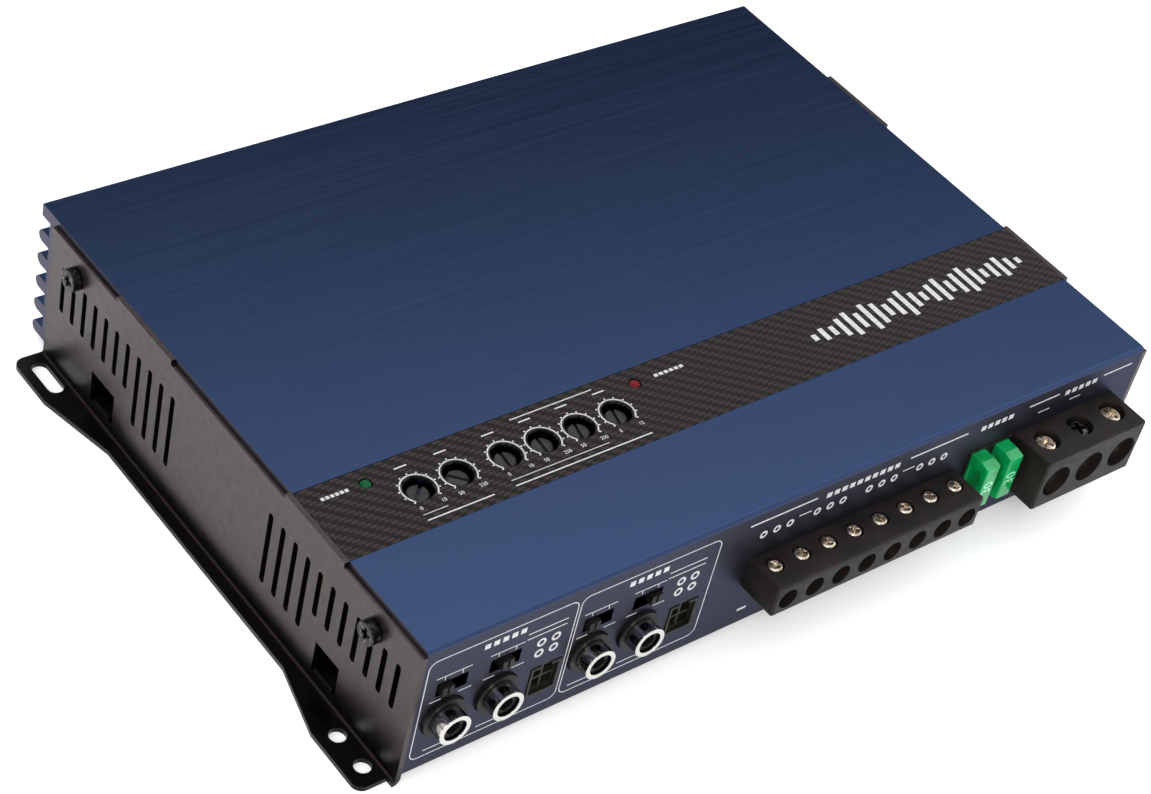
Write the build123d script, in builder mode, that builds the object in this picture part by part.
"""Four-channel car amplifier: finned extrusion, folded end panels with feet, terminals, fuses, controls.

Frame: X runs from the left end panel to the right one, -Y is the connector face and +Z is up.
The origin is the bottom centre of the whole amplifier, so z = 0 is the plane its feet stand on.
"""
from build123d import *
from types import SimpleNamespace
import os

os.makedirs("parts", exist_ok=True)

# ------------------------------------------------------------ driving dimensions, millimetres

# housing
body_length = 250.0  # extrusion, from one end panel to the other
body_depth = 180.0  # front face to the rear edge of the top plate
overall_height = 47.0  # feet to top face
face_height = 42.6  # front face of the extrusion
top_wall = 3.9
front_wall = 2.6
rear_wall = 5.5
front_edge_radius = 1.2
fin_count = 5
fin_pitch = 8.0
fin_thickness = 3.8
fin_reach = 5.2
first_fin_drop = 10.5  # top face to the middle of the first fin
sheet = 1.5  # steel of the end panels
base_sheet = 1.4
fit_gap = 0.2  # play around a part that passes through a wall
thread_gap = 0.04  # radial play of a screw in its thread

# rails and screw ports inside the extrusion
rail_width = 7.0
rail_height = 5.4
port_radius = 3.6
port_drop = 9.0  # top face to the port's axis
port_front = 18.3  # front face to the front port's axis
port_rear_inset = 21.4  # rear edge of the top plate to the rear port's axis
m3 = 3.0
rail_screw_inset = 30.0
countersink_radius = 2.8
countersink_depth = 1.3
base_screw_reach = 5.9  # underside of the base plate to the screw's tip
recess_span = 3.0  # cross recess of the small screws
recess_width = 0.7

# end panels
panel_rear_inset = 8.0  # rear edge of the top plate to the panel's rear edge
panel_drop = 1.5  # how far the top edge dips between its raised tabs
panel_tab_front = (33.0, 59.0)
panel_tab_rear_inset = (41.0, 68.0)
bend_radius = 0.8
foot_ear = 10.9  # reach of the ears beyond the extrusion's end
foot_waist = 5.4
foot_front_ear = (2.2, 22.7, 44.0)  # ear's front, ear's end, end of the taper
foot_rear_ear_inset = (8.0, 25.6, 50.0)
foot_corner = 3.0
foot_hole_radius = 2.3
foot_hole_reach = 5.6
foot_holes = (8.1, 19.0)
foot_slot_inset = 18.0
foot_slot_length = 13.0
vent_width = 2.0
vent_pitch = 5.54
vent_drop = 10.4
vent_short = 15.1
vent_long = 24.0
vent_short_count = 7
vent_long_count = 4
vent_front_last = 7.4  # front face to the foremost vent
vent_rear_inset = 15.3  # rear edge of the top plate to the rearmost vent
vent_screw_clearance = 3.4  # how much shorter the vent under a screw head is
window_front = (27.7, 38.0)
window_rear_inset = (33.0, 44.5)
window_height = 10.2
tab_width = 8.0
tab_reach = 8.0
pan_head_radius = 3.3
pan_head_height = 2.7
pan_recess = (3.6, 0.9, 1.3)  # span, width and depth of its cross recess
panel_screw_length = 9.5

# control strip on the top face
strip_front = 33.0
strip_width = 25.3
strip_depth = 0.8
strip_gap = 0.15
pot_row = 46.0
pot_places = (29.2, 41.3, 56.2, 68.0, 79.9, 92.3)
pot_angles = (225.0, -45.0, 84.0, 83.0, 75.0, 75.0)  # direction that each pointer shows
pot_names = ("front_gain", "front_filter", "rear_gain", "rear_filter", "low_pass", "bass_boost")
pot_hole_radius = 4.2
pot_shaft_radius = 3.0
pot_recess = 1.6
pot_body_size = 9.4
pot_body_height = 6.5
pot_bore_depth = 3.0
pot_play = 0.06
pot_chamfer = 0.3
screwdriver_slot = 1.0
screwdriver_slot_depth = 1.2
led_radius = 1.7
led_rise = 0.4
led_collar = 0.6
led_collar_height = 1.0
led_places = (("power_led", 18.3, 53.3), ("protection_led", 103.8, 52.9))

# boards
board = 1.6
transistor_depth = 4.6
standoff_height = 5.8
board_margin = 3.0
board_gap = 0.5  # front wall to the main board
standoff_radius = 3.2
board_screw_head = 2.8
board_screw_head_height = 1.8
pillar_radius = 2.5
pillar_inset = 3.0
control_board_span = (9.0, 113.0)
control_board_row = (35.0, 57.0)
input_board_front = 14.5
input_board_span = (1.2, 94.0)
input_board_height = 22.0

# signal inputs on the front face, one group for each pair of channels
group_pitch = 44.6
channel_pitch = 15.9
rca_place = 8.9
rca_drop = 26.4
rca_reach = 5.5
rca_shell_radius = 4.6
rca_root_radius = 4.3  # the shell where it sits in its collar
rca_root_reach = 0.1  # collar to the full shell
rca_shell_wall = 0.7
rca_collar_radius = 6.3
rca_collar_reach = 1.2
rca_rim = 1.3  # width of the shell's rolled rim
rca_rim_depth = 0.5
rca_insulator_radius = 3.2
rca_insulator_drop = 1.0  # rim to the face of the insulator
rca_contact_radius = 1.6
rca_contact_wall = 0.4
rca_contact_drop = 4.0  # rim to the contact inside the insulator
rca_seat = 4.0  # back of the wall to the end of the shell
rca_tail = 9.0  # back of the wall to the end of the contact
rca_housing_margin = 7.5  # axis of a jack to the end of its housing
rca_housing_rise = 7.2
switch_place = 9.6
switch_drop = 15.6
switch_window = (9.2, 4.6)
switch_travel = 2.0
switch_body = (14.0, 3.2, 3.4)  # width, and reach below and above its axis
slider_size = (3.4, 3.0)
slider_flange = 0.7
slider_flange_depth = (1.6, 2.9)  # behind the housing's face
slider_rise = 1.4  # how far the knob stands out of the wall
slider_score = (0.6, 0.5)
socket_place = 40.0
socket_drop = 29.3
socket_size = (9.4, 10.4)
socket_wall = 0.8
socket_recess = 0.9  # rim of the shroud to its four chambers
socket_depth = 9.5
socket_key = 1.6
chamber = 3.4
pin_pitch = 4.1
pin_size = 1.0
pin_drop = 5.0  # front face to the tips of the pins

# screw terminals; drops are from the top face to the block and from the block to its wire holes,
# and gaps from the block to what stands on its right: the fuse holder, or the extrusion's end
speaker = SimpleNamespace(
    name="speaker", poles=8, pitch=9.4, reach=12.0, drop=17.9, height=10.7,
    hole_radius=3.1, hole_drop=5.8, mouth=3.6, clamp=(6.4, 7.2), bore_radius=2.5, roof=1.3,
    screw_row=4.6, head_radius=2.3, head_height=1.6, thread_radius=1.5, thread_length=3.4, gap=3.9,
)
power = SimpleNamespace(
    name="power", poles=3, pitch=13.4, reach=14.0, drop=13.2, height=18.1,
    hole_radius=5.1, hole_drop=9.4, mouth=3.6, clamp=(10.8, 9.0), bore_radius=4.1, roof=1.5,
    screw_row=6.2, head_radius=3.6, head_height=2.2, thread_radius=2.25, thread_length=4.2, gap=7.6,
)
screw_play = 0.4  # how far each screw can still be tightened
wall_lap = 1.5  # how far a block covers the edge of its opening in the wall
stem_length = 8.0  # how far a block's stem stands behind the wall
block_fillet = 0.8
block_chamfer = 0.5

# fuses
fuse_thickness = 5.0
fuse_pitch = 9.1
fuse_gap = 2.6  # second fuse to the power block
fuse_drop = 22.3
fuse_reach = 7.0
fuse_seat = 3.9
fuse_width = 16.0
fuse_tip_width = 14.4
fuse_tip = 3.0  # depth of the sloped tip
fuse_panel = (2.2, 9.2, 0.6)  # tip to the sunk panel of a fuse's side, its width and its depth
fuse_blade = (0.7, 4.6, 7.2)
fuse_blade_pitch = 10.0
holder_wall = 1.2
holder_depth = 14.0

# parts on the main board
transformer = SimpleNamespace(right=62.0, front=62.0, radius=18.0, bore=7.0, height=17.0, fillet=3.0)
choke = SimpleNamespace(radius=11.0, bore=4.5, height=9.0, fillet=2.0)
choke_places = ((104.0, 36.0), (104.0, 64.0), (30.0, 34.0))  # from the right end and the front
input_can = SimpleNamespace(radius=6.5, height=22.0, pitch=16.0, right=22.0, front=62.0, count=3)
rail_can = SimpleNamespace(radius=8.0, height=26.0, pitch=20.0, right=104.0, front=96.0, count=4)
can_groove = (2.0, 0.9, 0.4)  # height above the board, width and depth
can_rim = 0.8
chip = SimpleNamespace(length=10.0, width=4.0, height=1.9, left=22.0, front=66.0, pitch=16.0, count=6)
transistor = SimpleNamespace(width=10.0, tab=1.3, tab_height=15.5, height=9.2, inset=18.0, count=12)
transistor_rise = 1.0
clamp_thickness = 2.0
clamp_half_height = 3.5
clamp_overhang = 7.0
clamp_axis = 5.0  # foot of the transistors to the middle of a clamp

# ------------------------------------------------------------ places worked out from them

left = -body_length / 2
right = body_length / 2
top = overall_height
base_top = top - face_height
base_bottom = base_top - base_sheet
fin_tip = body_depth + 1.0
front = (power.reach - fin_tip) / 2
rear = front + body_depth
wall_back = front + fin_tip - fin_reach
wall_inside = wall_back - rear_wall
rear_bottom = top - first_fin_drop - (fin_count - 1) * fin_pitch - fin_thickness / 2
ceiling = top - top_wall
panel_rear = rear - panel_rear_inset
board_bottom = base_top + standoff_height
board_top = board_bottom + board
rail_screw_rows = (front + front_wall + rail_width / 2, wall_inside - rail_width / 2)
rail_screw_places = (left + rail_screw_inset, 0.0, right - rail_screw_inset)
ports = (front + port_front, rear - port_rear_inset)
port_height = top - port_drop
input_groups = (left, left + group_pitch)
jacks = [group + rca_place + k * channel_pitch for group in input_groups for k in range(2)]
jack_height = top - rca_drop
switches = [group + switch_place + k * channel_pitch for group in input_groups for k in range(2)]
switch_height = top - switch_drop
sockets = [group + socket_place for group in input_groups]
socket_height = top - socket_drop
power.start = right - power.gap - power.poles * power.pitch
last_fuse = power.start - fuse_gap - fuse_thickness / 2
fuses_x = (last_fuse - fuse_pitch, last_fuse)
fuse_height = top - fuse_drop
holder_left = fuses_x[0] - fuse_thickness / 2 - holder_wall
holder_right = fuses_x[1] + fuse_thickness / 2 + holder_wall
holder_bottom = fuse_height - fuse_width / 2 - holder_wall
holder_top = fuse_height + fuse_width / 2 + holder_wall
speaker.start = holder_left - speaker.gap - speaker.poles * speaker.pitch
for terminal in (speaker, power):
    terminal.end = terminal.start + terminal.poles * terminal.pitch
    terminal.poles_x = [terminal.start + (k + 0.5) * terminal.pitch for k in range(terminal.poles)]
    terminal.top = top - terminal.drop
    terminal.bottom = terminal.top - terminal.height
    terminal.axis = terminal.top - terminal.hole_drop
    terminal.clamp_top = terminal.axis + terminal.bore_radius + terminal.roof
    terminal.clamp_bottom = terminal.axis - terminal.bore_radius - terminal.roof
    terminal.screw_y = front - terminal.screw_row
    terminal.screw_seat = terminal.clamp_top + screw_play
pot_top = ceiling - 0.4
control_board_top = pot_top - pot_body_height
tab_rows = (
    front + sum(window_front) / 2,
    rear - sum(window_rear_inset) / 2,
)


def rectangle(x0, x1, y0, y1, mode=Mode.ADD):
    """A rectangle of the sketch in hand, from corner to corner."""
    with Locations(((x0 + x1) / 2, (y0 + y1) / 2)):
        Rectangle(x1 - x0, y1 - y0, mode=mode)


def block(x0, x1, y0, y1, z0, z1, mode=Mode.ADD):
    """A box of the part in hand, from corner to corner."""
    with Locations(((x0 + x1) / 2, (y0 + y1) / 2, (z0 + z1) / 2)):
        Box(x1 - x0, y1 - y0, z1 - z0, mode=mode)


def front_plane(y):
    """The upright plane at this y; its sketches extrude towards the front."""
    return Plane.XZ.offset(-y)


def save(part, name):
    """Label a finished piece and write it out."""
    part.part.label = name
    export_step(part.part, f"parts/{name}.step")


# ------------------------------------------------------------ housing

# One extrusion: top plate, front wall, finned rear wall, screw ports and base rails.
with BuildPart() as heatsink:
    with BuildSketch(Plane.YZ):
        rectangle(front, rear, ceiling, top)
        rectangle(front, front + front_wall, base_top, top)
        rectangle(wall_inside, wall_back, rear_bottom, top)
        rectangle(front, front + front_wall + rail_width, base_top, base_top + rail_height)
        rectangle(wall_inside - rail_width, wall_back, base_top, base_top + rail_height)
        for fin in range(fin_count):
            fin_height = top - first_fin_drop - fin * fin_pitch
            fin_centre = front + fin_tip - fin_thickness / 2
            rectangle(wall_inside, fin_centre, fin_height - fin_thickness / 2, fin_height + fin_thickness / 2)
            with Locations((fin_centre, fin_height)):
                Circle(fin_thickness / 2)
        for port in ports:
            rectangle(port - port_radius, port + port_radius, port_height, top)
            with Locations((port, port_height)):
                Circle(port_radius)
        with Locations(*[(port, port_height) for port in ports]):
            Circle(m3 / 2 + thread_gap, mode=Mode.SUBTRACT)
        rectangle(front + strip_front, front + strip_front + strip_width, top - strip_depth, top,
                  mode=Mode.SUBTRACT)
    extrude(amount=body_length / 2, both=True)
    fillet(heatsink.edges().filter_by(Axis.X).filter_by_position(Axis.Z, top - 0.01, top + 0.01)
           .sort_by(Axis.Y)[0], front_edge_radius)
    with BuildSketch(Plane.XY.offset(top)):
        with Locations(*[(left + place, front + pot_row) for place in pot_places]):
            Circle(pot_hole_radius)
        with Locations(*[(left + place, front + row) for _, place, row in led_places]):
            Circle(led_radius + fit_gap / 2)
    extrude(amount=-top_wall - 1, mode=Mode.SUBTRACT)
    with BuildSketch(front_plane(front - 1)):
        with Locations(*[(x, jack_height) for x in jacks]):
            Circle(rca_collar_radius + fit_gap)
        with Locations(*[(x, switch_height) for x in switches]):
            Rectangle(*switch_window)
        with Locations(*[(x, socket_height) for x in sockets]):
            Rectangle(socket_size[0] + 2 * fit_gap, socket_size[1] + 2 * fit_gap)
        for terminal in (speaker, power):
            rectangle(terminal.start + wall_lap, terminal.end - wall_lap,
                      terminal.bottom + wall_lap, terminal.top - wall_lap)
        rectangle(holder_left - fit_gap, holder_right + fit_gap,
                  holder_bottom - fit_gap, holder_top + fit_gap)
    extrude(amount=-front_wall - 1.5, mode=Mode.SUBTRACT)
    with BuildSketch(Plane.XY.offset(base_top)):
        with Locations(*[(x, y) for x in rail_screw_places for y in rail_screw_rows]):
            Circle(m3 / 2 + thread_gap)
    extrude(amount=rail_height + 1, mode=Mode.SUBTRACT)
save(heatsink, "heatsink")

# Flat steel plate that closes the underside.
base_screws_at = [(x, y) for x in rail_screw_places for y in rail_screw_rows]
base_screws_at += [(side * (body_length / 2 - tab_reach / 2), y) for side in (-1, 1) for y in tab_rows]
with BuildPart() as base_plate:
    with BuildSketch(Plane.XY.offset(base_bottom)):
        rectangle(left + 0.3, right - 0.3, front + 0.5, wall_inside - 0.3)
    extrude(amount=base_sheet)
    with Locations(*[Plane((x, y, base_bottom), z_dir=(0, 0, -1)) for x, y in base_screws_at]):
        CounterSinkHole(m3 / 2 + fit_gap, countersink_radius + 0.1, depth=base_sheet)
save(base_plate, "base_plate")

# End panels: an upright plate with vents, folded out into a foot along its bottom edge.
vents = []
for k in range(vent_short_count + vent_long_count):
    long_ones = k >= vent_short_count
    vents.append((front + vent_front_last + k * vent_pitch, vent_long if long_ones else vent_short))
    vents.append((rear - vent_rear_inset - k * vent_pitch, vent_long if long_ones else vent_short))
for side, side_name in ((-1, "left"), (1, "right")):
    end = side * body_length / 2
    with BuildPart() as end_panel:
        with BuildSketch(Plane.YZ.offset(min(end, end + side * sheet))):
            rectangle(front, panel_rear, bend_radius + sheet, top - panel_drop)
            rectangle(front + panel_tab_front[0], front + panel_tab_front[1], top / 2, top)
            rectangle(rear - panel_tab_rear_inset[1], rear - panel_tab_rear_inset[0], top / 2, top)
            for y, length in vents:
                vent_top = top - vent_drop
                if min(abs(y - port) for port in ports) < pan_head_radius:
                    vent_top -= vent_screw_clearance
                vent_bottom = top - vent_drop - length
                with Locations((y, (vent_top + vent_bottom) / 2)):
                    SlotOverall(vent_top - vent_bottom, vent_width, rotation=90, mode=Mode.SUBTRACT)
            for low, high in (
                (front + window_front[0], front + window_front[1]),
                (rear - window_rear_inset[1], rear - window_rear_inset[0]),
            ):
                rectangle(low, high, base_top, base_top + window_height, mode=Mode.SUBTRACT)
            with Locations(*[(port, port_height) for port in ports]):
                Circle(m3 / 2 + fit_gap, mode=Mode.SUBTRACT)
        extrude(amount=sheet)
        with BuildSketch(front_plane(front)):
            bend = sheet + bend_radius
            bend_centre = (end + side * bend, bend)
            with Locations(bend_centre):
                Circle(sheet + bend_radius)
                Circle(bend_radius, mode=Mode.SUBTRACT)
            rectangle(bend_centre[0] - bend, bend_centre[0] + bend, bend_centre[1], bend_centre[1] + bend,
                      mode=Mode.SUBTRACT)
            rectangle(min(bend_centre[0], bend_centre[0] + side * bend),
                      max(bend_centre[0], bend_centre[0] + side * bend),
                      -1, bend_centre[1] + bend, mode=Mode.SUBTRACT)
        extrude(amount=-(panel_rear - front))
        with BuildSketch(Plane.XY):
            with BuildLine():
                inner = end + side * (sheet + bend_radius)
                ear = end + side * foot_ear
                waist = end + side * foot_waist
                Polyline(
                    (inner, front + foot_front_ear[0]),
                    (ear, front + foot_front_ear[0]),
                    (ear, front + foot_front_ear[1]),
                    (waist, front + foot_front_ear[2]),
                    (waist, rear - foot_rear_ear_inset[2]),
                    (ear, rear - foot_rear_ear_inset[1]),
                    (ear, rear - foot_rear_ear_inset[0]),
                    (inner, rear - foot_rear_ear_inset[0]),
                    close=True,
                )
            make_face()
            ends = vertices().filter_by(lambda v: abs(v.X - ear) < 0.01).sort_by(Axis.Y)
            fillet([ends[0], ends[-1]], foot_corner)
            with Locations(*[(end + side * foot_hole_reach, front + y) for y in foot_holes]):
                Circle(foot_hole_radius, mode=Mode.SUBTRACT)
            with Locations((end + side * foot_hole_reach, rear - foot_slot_inset)):
                SlotOverall(foot_slot_length, 2 * foot_hole_radius, rotation=90, mode=Mode.SUBTRACT)
        extrude(amount=sheet)
        for row in tab_rows:
            reach = end - side * tab_reach
            outside = end + side * sheet
            block(min(reach, outside), max(reach, outside), row - tab_width / 2, row + tab_width / 2,
                  base_top, base_top + sheet)
            with Locations((end - side * tab_reach / 2, row, base_top + sheet / 2)):
                Cylinder(m3 / 2 + thread_gap, sheet + 1, mode=Mode.SUBTRACT)
    save(end_panel, f"end_panel_{side_name}")

# Four pan-head screws hold the end panels to the extrusion's ports.
with BuildPart() as end_panel_screws:
    for side in (-1, 1):
        for port in ports:
            seat = Plane((side * (body_length / 2 + sheet), port, port_height), z_dir=(side, 0, 0))
            with BuildSketch(seat):
                Circle(pan_head_radius)
            extrude(amount=pan_head_height)
            with BuildSketch(seat):
                Circle(m3 / 2)
            extrude(amount=-panel_screw_length)
            with BuildSketch(seat.offset(pan_head_height)):
                Rectangle(pan_recess[0], pan_recess[1])
                Rectangle(pan_recess[1], pan_recess[0])
            extrude(amount=-pan_recess[2], mode=Mode.SUBTRACT)
save(end_panel_screws, "end_panel_screws")

# Countersunk screws of the base plate, into the rails and the panels' tabs.
with BuildPart() as base_screws:
    for x, y in base_screws_at:
        with Locations((x, y, base_bottom + 0.1 + countersink_depth / 2)):
            Cone(countersink_radius, m3 / 2, countersink_depth)
        shank = base_screw_reach - countersink_depth / 2
        with Locations((x, y, base_bottom + base_screw_reach - shank / 2)):
            Cylinder(m3 / 2, shank)
        for across, along in ((recess_span, recess_width), (recess_width, recess_span)):
            block(x - across / 2, x + across / 2, y - along / 2, y + along / 2,
                  base_bottom, base_bottom + recess_width, mode=Mode.SUBTRACT)
save(base_screws, "base_screws")

# ------------------------------------------------------------ controls on the top face

# Inlaid strip with the holes of the controls and lamps.
with BuildPart() as control_strip:
    with BuildSketch(Plane.XY.offset(top - strip_depth)):
        rectangle(left, right, front + strip_front + strip_gap, front + strip_front + strip_width - strip_gap)
        with Locations(*[(left + place, front + pot_row) for place in pot_places]):
            Circle(pot_hole_radius, mode=Mode.SUBTRACT)
        with Locations(*[(left + place, front + row) for _, place, row in led_places]):
            Circle(led_radius + fit_gap / 2, mode=Mode.SUBTRACT)
    extrude(amount=strip_depth)
save(control_strip, "control_strip")

# Small board under the strip that carries the controls and lamps.
with BuildPart() as control_board:
    with BuildSketch(Plane.XY.offset(control_board_top)):
        rectangle(left + control_board_span[0], left + control_board_span[1],
                  front + control_board_row[0], front + control_board_row[1])
    extrude(amount=-board)
save(control_board, "control_board")

pillar_columns = (control_board_span[0] + pillar_inset, control_board_span[1] - pillar_inset)
pillar_rows = (control_board_row[0] + pillar_inset, control_board_row[1] - pillar_inset)
with BuildPart() as control_pillars:
    with BuildSketch(Plane.XY.offset(board_top)):
        with Locations(*[(left + x, front + y) for x in pillar_columns for y in pillar_rows]):
            RegularPolygon(pillar_radius, 6)
    extrude(amount=control_board_top - board - board_top)
save(control_pillars, "control_pillars")

with BuildPart() as pot_bodies:
    for place in pot_places:
        x = left + place
        y = front + pot_row
        block(x - pot_body_size / 2, x + pot_body_size / 2, y - pot_body_size / 2, y + pot_body_size / 2,
              control_board_top, pot_top)
        with Locations((x, y, pot_top - pot_bore_depth / 2)):
            Cylinder(pot_shaft_radius + pot_play, pot_bore_depth, mode=Mode.SUBTRACT)
save(pot_bodies, "pot_bodies")

# Each control is a slotted shaft, turned so that its pointer shows its set value.
for place, angle, pot_name in zip(pot_places, pot_angles, pot_names):
    shaft_bottom = pot_top - pot_bore_depth + 0.1
    shaft_top = top - pot_recess
    with BuildPart() as pot_shaft:
        with BuildSketch(Plane((left + place, front + pot_row, shaft_bottom))):
            Circle(pot_shaft_radius)
        extrude(amount=shaft_top - shaft_bottom)
        chamfer(pot_shaft.faces().sort_by(Axis.Z)[-1].edges(), pot_chamfer)
        with BuildSketch(Plane((left + place, front + pot_row, shaft_top))):
            Rectangle(2 * pot_shaft_radius + 1, screwdriver_slot, rotation=angle)
        extrude(amount=-screwdriver_slot_depth, mode=Mode.SUBTRACT)
    save(pot_shaft, f"{pot_name}_shaft")

# Each lamp is a domed pillar with a collar where it stands on the control board.
for led_name, place, row in led_places:
    with BuildPart() as led:
        with BuildSketch(Plane((left + place, front + row, control_board_top))):
            Circle(led_radius + led_collar)
        extrude(amount=led_collar_height)
        with BuildSketch(Plane((left + place, front + row, control_board_top))):
            Circle(led_radius)
        extrude(amount=top + led_rise - control_board_top)
        fillet(led.faces().sort_by(Axis.Z)[-1].edges(), 0.9 * led_radius)
    save(led, led_name)

# ------------------------------------------------------------ signal inputs on the front face

# Upright board behind the jacks, switches and sockets.
with BuildPart() as input_board:
    with BuildSketch(front_plane(front + input_board_front)):
        rectangle(left + input_board_span[0], left + input_board_span[1],
                  board_top, board_top + input_board_height)
    extrude(amount=-board)
save(input_board, "input_board")

# Moulded housings, one for each pair of jacks, with a round collar in the wall for each jack.
housing_face = front + front_wall + 0.1
shell_end = front + front_wall + rca_seat
contact_hole = rca_contact_radius + rca_contact_wall
with BuildPart() as rca_housings:
    for pair in (jacks[:2], jacks[2:]):
        block(pair[0] - rca_housing_margin, pair[1] + rca_housing_margin, housing_face,
              front + input_board_front, board_top, jack_height + rca_housing_rise)
    for x in jacks:
        with BuildSketch(front_plane(housing_face)):
            with Locations((x, jack_height)):
                Circle(rca_collar_radius)
        extrude(amount=housing_face - front + rca_collar_reach)
        with BuildSketch(front_plane(shell_end)):
            with Locations((x, jack_height)):
                Circle(rca_root_radius)
        extrude(amount=shell_end - front + rca_collar_reach, mode=Mode.SUBTRACT)
        with BuildSketch(front_plane(shell_end)):
            with Locations((x, jack_height)):
                Circle(rca_insulator_radius)
                Circle(contact_hole, mode=Mode.SUBTRACT)
        extrude(amount=shell_end - front + rca_reach - rca_insulator_drop)
        with BuildSketch(front_plane(shell_end)):
            with Locations((x, jack_height)):
                Circle(contact_hole)
        extrude(amount=rca_seat - rca_tail, mode=Mode.SUBTRACT)
save(rca_housings, "rca_housings")

with BuildPart() as rca_shells:
    for radius, inner_end in (
        (rca_root_radius, shell_end),
        (rca_shell_radius, front - rca_collar_reach - rca_root_reach),
    ):
        with BuildSketch(front_plane(inner_end)):
            with Locations(*[(x, jack_height) for x in jacks]):
                Circle(radius)
                Circle(rca_shell_radius - rca_shell_wall, mode=Mode.SUBTRACT)
        extrude(amount=inner_end - front + rca_reach)
    for x in jacks:
        with BuildSketch(front_plane(front - rca_reach)):
            with Locations((x, jack_height)):
                Circle(rca_shell_radius)
                Circle(rca_shell_radius - rca_rim, mode=Mode.SUBTRACT)
        extrude(amount=-rca_rim_depth)
save(rca_shells, "rca_shells")

with BuildPart() as rca_contacts:
    with BuildSketch(front_plane(front + front_wall + rca_tail)):
        with Locations(*[(x, jack_height) for x in jacks]):
            Circle(contact_hole)
            Circle(rca_contact_radius, mode=Mode.SUBTRACT)
    extrude(amount=front_wall + rca_tail + rca_reach - rca_contact_drop)
save(rca_contacts, "rca_contacts")

# Slide switch housings: a block behind the wall with a channel that its slider runs in.
channel_half = switch_travel + slider_size[0] / 2 + slider_flange + fit_gap
flange_front, flange_back = [housing_face + depth for depth in slider_flange_depth]
with BuildPart() as switch_housings:
    for x in switches:
        block(x - switch_body[0] / 2, x + switch_body[0] / 2, housing_face, front + input_board_front,
              switch_height - switch_body[1], switch_height + switch_body[2])
        block(x - channel_half, x + channel_half, housing_face, flange_back + 0.1,
              switch_height - slider_size[1] / 2 - 0.15, switch_height + slider_size[1] / 2 + 0.15,
              mode=Mode.SUBTRACT)
save(switch_housings, "switch_housings")

slider_names = ("front_input", "front_crossover", "rear_input", "rear_crossover")
slider_rest = (-switch_travel, 0.0, -switch_travel, switch_travel)
for x, rest, slider_name in zip(switches, slider_rest, slider_names):
    middle = x + rest
    half_width = slider_size[0] / 2
    score_width, score_depth = slider_score
    low, high = switch_height - slider_size[1] / 2, switch_height + slider_size[1] / 2
    with BuildPart() as slider:
        block(middle - half_width - slider_flange, middle + half_width + slider_flange,
              flange_front, flange_back, low, high)
        block(middle - half_width, middle + half_width, front - slider_rise, flange_front, low, high)
        block(middle - score_width / 2, middle + score_width / 2,
              front - slider_rise, front - slider_rise + score_depth, low, high, mode=Mode.SUBTRACT)
    save(slider, f"{slider_name}_slider")

# Speaker-level sockets: a shroud around two rows of two chambers, each with its pin, keyed on top.
half_width = socket_size[0] / 2
half_height = socket_size[1] / 2
with BuildPart() as level_sockets:
    for x in sockets:
        block(x - half_width, x + half_width, front - 0.3, front + input_board_front,
              socket_height - half_height, socket_height + half_height)
        block(x - half_width + socket_wall, x + half_width - socket_wall, front - 0.3,
              front + socket_recess, socket_height - half_height + socket_wall,
              socket_height + half_height - socket_wall, mode=Mode.SUBTRACT)
        block(x - socket_key, x + socket_key, front - 0.3, front + socket_recess,
              socket_height + half_height - socket_wall, socket_height + half_height, mode=Mode.SUBTRACT)
        for size, depth in ((chamber, socket_depth), (pin_size, input_board_front)):
            with BuildSketch(front_plane(front + depth)):
                with Locations((x, socket_height)):
                    with GridLocations(pin_pitch, pin_pitch, 2, 2):
                        Rectangle(size, size)
            extrude(amount=depth, mode=Mode.SUBTRACT)
save(level_sockets, "level_sockets")

with BuildPart() as level_socket_pins:
    with BuildSketch(front_plane(front + input_board_front)):
        for x in sockets:
            with Locations((x, socket_height)):
                with GridLocations(pin_pitch, pin_pitch, 2, 2):
                    Rectangle(pin_size, pin_size)
    extrude(amount=input_board_front - pin_drop)
save(level_socket_pins, "level_socket_pins")

# ------------------------------------------------------------ screw terminals


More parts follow.
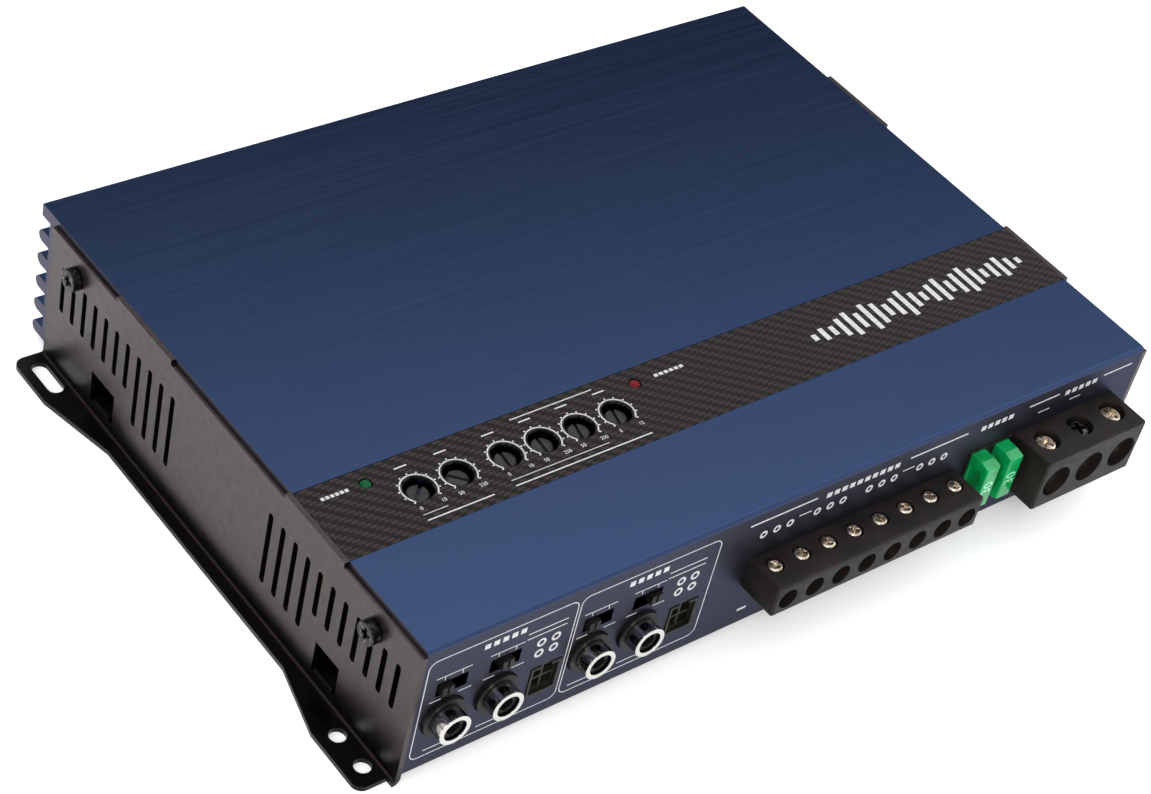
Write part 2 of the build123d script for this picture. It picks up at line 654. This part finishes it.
# A moulded block lies against the wall; its stem passes through and stands on the main board.
# Every pole has a wire hole in front, a pocket for its metal clamp and a well for its screw.
for terminal in (speaker, power):
    stem_left = terminal.start + wall_lap + fit_gap
    stem_right = terminal.end - wall_lap - fit_gap
    stem_bottom = terminal.bottom + wall_lap + fit_gap
    stem_top = terminal.top - wall_lap - fit_gap
    stem_back = front + front_wall + stem_length
    clamp_front = front - terminal.reach + terminal.mouth
    with BuildPart() as terminal_block:
        block(terminal.start, terminal.end, front - terminal.reach, front, terminal.bottom, terminal.top)
        fillet(terminal_block.edges().filter_by(Axis.Y), block_fillet)
        chamfer(terminal_block.edges().filter_by(Axis.X).group_by(Axis.Y)[0], block_chamfer)
        block(stem_left, stem_right, front - 1, stem_back, stem_bottom, stem_top)
        block(stem_left, stem_right, front + front_wall + 0.4, stem_back, board_top, stem_top)
        with BuildSketch(front_plane(front - terminal.reach - 1)):
            with Locations(*[(x, terminal.axis) for x in terminal.poles_x]):
                Circle(terminal.hole_radius)
        extrude(amount=-terminal.mouth - 1, mode=Mode.SUBTRACT)
        for x in terminal.poles_x:
            block(x - terminal.clamp[0] / 2, x + terminal.clamp[0] / 2, clamp_front,
                  clamp_front + terminal.clamp[1], terminal.clamp_bottom, terminal.clamp_top,
                  mode=Mode.SUBTRACT)
        with BuildSketch(Plane.XY.offset(terminal.clamp_top)):
            with Locations(*[(x, terminal.screw_y) for x in terminal.poles_x]):
                Circle(terminal.head_radius + 0.3)
        extrude(amount=terminal.height, mode=Mode.SUBTRACT)
    save(terminal_block, f"{terminal.name}_terminal_block")

    with BuildPart() as terminal_clamps:
        for x in terminal.poles_x:
            block(x - terminal.clamp[0] / 2, x + terminal.clamp[0] / 2, clamp_front,
                  clamp_front + terminal.clamp[1], terminal.clamp_bottom, terminal.clamp_top)
        with BuildSketch(front_plane(clamp_front - 1)):
            with Locations(*[(x, terminal.axis) for x in terminal.poles_x]):
                Circle(terminal.bore_radius)
        extrude(amount=-terminal.clamp[1] - 2, mode=Mode.SUBTRACT)
        with BuildSketch(Plane.XY.offset(terminal.axis)):
            with Locations(*[(x, terminal.screw_y) for x in terminal.poles_x]):
                Circle(terminal.thread_radius + thread_gap)
        extrude(amount=terminal.height, mode=Mode.SUBTRACT)
    save(terminal_clamps, f"{terminal.name}_terminal_clamps")

    for number, x in enumerate(terminal.poles_x, 1):
        head_top = terminal.screw_seat + terminal.head_height
        recess_turn = 35.0 * number
        with BuildPart() as terminal_screw:
            with BuildSketch(Plane((x, terminal.screw_y, terminal.screw_seat))):
                Circle(terminal.head_radius)
            extrude(amount=terminal.head_height)
            fillet(terminal_screw.faces().sort_by(Axis.Z)[-1].edges(), 0.5 * terminal.head_height)
            with BuildSketch(Plane((x, terminal.screw_y, terminal.screw_seat))):
                Circle(terminal.thread_radius)
            extrude(amount=-terminal.thread_length)
            with BuildSketch(Plane((x, terminal.screw_y, head_top))):
                Rectangle(1.3 * terminal.head_radius, 0.28 * terminal.head_radius, rotation=recess_turn)
                Rectangle(0.28 * terminal.head_radius, 1.3 * terminal.head_radius, rotation=recess_turn)
            extrude(amount=-0.6 * terminal.head_height, mode=Mode.SUBTRACT)
        save(terminal_screw, f"{terminal.name}_screw_{number}")

# ------------------------------------------------------------ fuses

# The holder fills its opening in the wall and stands on the main board behind it.
blade_thickness, blade_width, blade_length = fuse_blade
with BuildPart() as fuse_holder:
    block(holder_left, holder_right, front - 0.3, front + holder_depth, holder_bottom, holder_top)
    block(holder_left, holder_right, front + front_wall + 0.4, front + holder_depth,
          board_top, holder_top)
    for x in fuses_x:
        block(x - fuse_thickness / 2 - 0.1, x + fuse_thickness / 2 + 0.1,
              front - 0.3, front + fuse_seat + 0.1,
              fuse_height - fuse_width / 2 - 0.1, fuse_height + fuse_width / 2 + 0.1, mode=Mode.SUBTRACT)
        for z in (fuse_height - fuse_blade_pitch / 2, fuse_height + fuse_blade_pitch / 2):
            block(x - blade_thickness / 2 - 0.05, x + blade_thickness / 2 + 0.05, front,
                  front + fuse_seat + blade_length + 0.3,
                  z - blade_width / 2 - 0.1, z + blade_width / 2 + 0.1, mode=Mode.SUBTRACT)
save(fuse_holder, "fuse_holder")

# A blade fuse: a grip that narrows towards its tip, with a stepped waist and two blades.
for number, x in enumerate(fuses_x, 1):
    with BuildPart() as fuse:
        with BuildSketch(Plane.YZ.offset(x - fuse_thickness / 2)):
            with BuildLine():
                Polyline(
                    (front + fuse_seat, fuse_height - fuse_width / 2),
                    (front - fuse_reach + fuse_tip, fuse_height - fuse_width / 2),
                    (front - fuse_reach, fuse_height - fuse_tip_width / 2),
                    (front - fuse_reach, fuse_height + fuse_tip_width / 2),
                    (front - fuse_reach + fuse_tip, fuse_height + fuse_width / 2),
                    (front + fuse_seat, fuse_height + fuse_width / 2),
                    close=True,
                )
            make_face()
        extrude(amount=fuse_thickness)
        fillet(fuse.edges().filter_by(Axis.Z).group_by(Axis.Y)[0], 0.5)
        for side in (-1, 1):
            face = x + side * fuse_thickness / 2
            block(face - fuse_panel[2], face + fuse_panel[2], front - fuse_reach + fuse_panel[0], front - 0.8,
                  fuse_height - fuse_panel[1] / 2, fuse_height + fuse_panel[1] / 2, mode=Mode.SUBTRACT)
        for z in (fuse_height - fuse_blade_pitch / 2, fuse_height + fuse_blade_pitch / 2):
            block(x - blade_thickness / 2, x + blade_thickness / 2, front + fuse_seat - 1,
                  front + fuse_seat + blade_length, z - blade_width / 2, z + blade_width / 2)
    save(fuse, f"fuse_{number}")

# ------------------------------------------------------------ main board and what stands on it

board_left = left + board_margin
board_right = right - board_margin
board_front = front + front_wall + board_gap
board_rear = wall_inside - transistor_depth - clamp_thickness
standoffs_at = [(x, y) for x in (board_left + 12, 0.0, board_right - 12)
                for y in (front + 30.0, board_rear - 8)]
with BuildPart() as main_board:
    with BuildSketch(Plane.XY.offset(board_bottom)):
        rectangle(board_left, board_right, board_front, board_rear)
        with Locations(*standoffs_at):
            Circle(m3 / 2 + fit_gap, mode=Mode.SUBTRACT)
    extrude(amount=board)
save(main_board, "main_board")

with BuildPart() as board_standoffs:
    with BuildSketch(Plane.XY.offset(base_top)):
        with Locations(*standoffs_at):
            RegularPolygon(standoff_radius, 6)
            Circle(m3 / 2 + thread_gap, mode=Mode.SUBTRACT)
    extrude(amount=standoff_height)
save(board_standoffs, "board_standoffs")

with BuildPart() as board_screws:
    for spot in standoffs_at:
        with BuildSketch(Plane((*spot, board_top))):
            Circle(board_screw_head)
        extrude(amount=board_screw_head_height)
        with BuildSketch(Plane((*spot, board_top))):
            Circle(m3 / 2)
        extrude(amount=-board - 4)
        with BuildSketch(Plane((*spot, board_top + board_screw_head_height))):
            Rectangle(recess_span, recess_width)
            Rectangle(recess_width, recess_span)
        extrude(amount=-1.0, mode=Mode.SUBTRACT)
save(board_screws, "board_screws")

# Ring core transformer of the supply, wound all round.
with BuildPart() as power_transformer:
    with BuildSketch(Plane((right - transformer.right, front + transformer.front, board_top))):
        Circle(transformer.radius)
        Circle(transformer.bore, mode=Mode.SUBTRACT)
    extrude(amount=transformer.height)
    fillet(power_transformer.edges().filter_by(GeomType.CIRCLE), transformer.fillet)
save(power_transformer, "power_transformer")

# Filter chokes: small rings that lie on the board beside the transformer.
with BuildPart() as filter_chokes:
    for inset, row in choke_places:
        with BuildSketch(Plane((right - inset, front + row, board_top))):
            Circle(choke.radius)
            Circle(choke.bore, mode=Mode.SUBTRACT)
        extrude(amount=choke.height)
    fillet(filter_chokes.edges().filter_by(GeomType.CIRCLE), choke.fillet)
save(filter_chokes, "filter_chokes")

# Capacitor cans, each with a rolled rim and a groove near its foot.
input_spots = [(right - input_can.right, front + input_can.front + input_can.pitch * k)
               for k in range(input_can.count)]
rail_spots = [(right - rail_can.right + rail_can.pitch * k, front + rail_can.front)
              for k in range(rail_can.count)]
groove_height, groove_width, groove_depth = can_groove
for cans_name, can, spots in (
    ("input_capacitors", input_can, input_spots),
    ("rail_capacitors", rail_can, rail_spots),
):
    with BuildPart() as cans:
        with BuildSketch(Plane.XY.offset(board_top)):
            with Locations(*spots):
                Circle(can.radius)
        extrude(amount=can.height)
        fillet(cans.faces().filter_by(Axis.Z).group_by(Axis.Z)[-1].edges(), can_rim)
        with BuildSketch(Plane.XY.offset(board_top + groove_height)):
            with Locations(*spots):
                Circle(can.radius + 0.1)
                Circle(can.radius - groove_depth, mode=Mode.SUBTRACT)
        extrude(amount=groove_width, mode=Mode.SUBTRACT)
    save(cans, cans_name)

# Driver and tone circuits in flat packages.
with BuildPart() as control_chips:
    for k in range(chip.count):
        x = left + chip.left + chip.pitch * k
        block(x - chip.length / 2, x + chip.length / 2, front + chip.front, front + chip.front + chip.width,
              board_top, board_top + chip.height)
save(control_chips, "control_chips")

# Power transistors stand against the rear wall, pressed on it by two bars.
transistor_foot = board_top + transistor_rise
transistor_face = wall_inside - transistor_depth
transistor_pitch = (body_length - 2 * transistor.inset) / (transistor.count - 1)
transistors_x = [left + transistor.inset + transistor_pitch * k for k in range(transistor.count)]
with BuildPart() as power_transistors:
    for x in transistors_x:
        block(x - transistor.width / 2, x + transistor.width / 2, wall_inside - transistor.tab, wall_inside,
              transistor_foot, transistor_foot + transistor.tab_height)
        block(x - transistor.width / 2, x + transistor.width / 2,
              transistor_face, wall_inside - transistor.tab,
              transistor_foot, transistor_foot + transistor.height)
save(power_transistors, "power_transistors")

half = transistor.count // 2
bar_spans = [(ends[0] - clamp_overhang, ends[-1] + clamp_overhang)
             for ends in (transistors_x[:half], transistors_x[half:])]
bar_height = transistor_foot + clamp_axis
clamp_face = transistor_face - clamp_thickness
bar_screws_at = [(x0 + x1) / 2 for x0, x1 in zip(transistors_x[::3], transistors_x[1::3])]
with BuildPart() as transistor_clamps:
    for x0, x1 in bar_spans:
        block(x0, x1, clamp_face, transistor_face,
              bar_height - clamp_half_height, bar_height + clamp_half_height)
    with BuildSketch(front_plane(clamp_face - 1)):
        with Locations(*[(x, bar_height) for x in bar_screws_at]):
            Circle(m3 / 2 + fit_gap)
    extrude(amount=-clamp_thickness - 2, mode=Mode.SUBTRACT)
save(transistor_clamps, "transistor_clamps")

with BuildPart() as clamp_screws:
    for x in bar_screws_at:
        with BuildSketch(front_plane(clamp_face)):
            with Locations((x, bar_height)):
                Circle(board_screw_head)
        extrude(amount=board_screw_head_height)
        with BuildSketch(front_plane(clamp_face)):
            with Locations((x, bar_height)):
                Circle(m3 / 2)
        extrude(amount=-transistor_depth - clamp_thickness)
save(clamp_screws, "clamp_screws")
